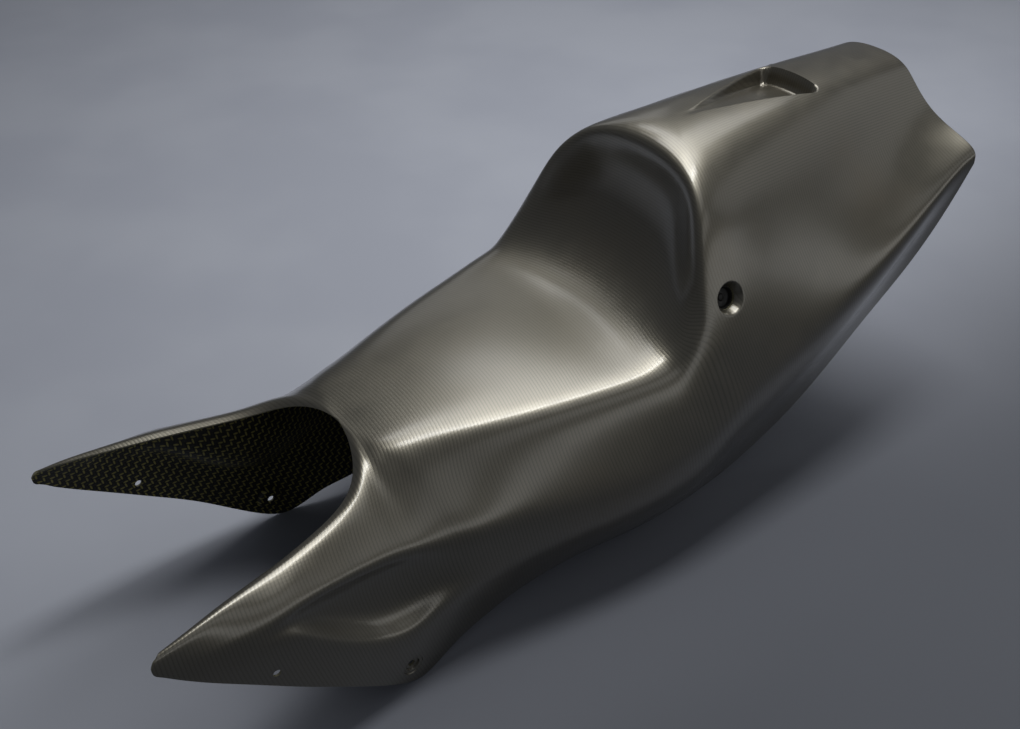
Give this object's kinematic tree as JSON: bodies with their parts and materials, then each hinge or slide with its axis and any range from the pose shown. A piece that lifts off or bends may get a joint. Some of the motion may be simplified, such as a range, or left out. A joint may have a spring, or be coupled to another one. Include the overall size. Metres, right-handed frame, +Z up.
{
  "type": "motorcycle seat cowl",
  "caption": "Single-seat racing tail cowl: one moulded composite shell with two front arms, a dished seat, a bucket backrest and a hollow open hump.",
  "frame": {"origin": "middle of the cowl's footprint, at the level of the lower edges that it stands on", "axes": "+X forward to the tips of the arms, +Y to the left side, +Z up"},
  "size_m": [0.88, 0.3214, 0.3667],
  "materials": {
    "weave": "satin resin over a fine woven carbon and aramid cloth, dark with a light olive thread inside"
  },
  "bodies": {
    "root": {"shell": "weave"}
  },
  "joints": []
}
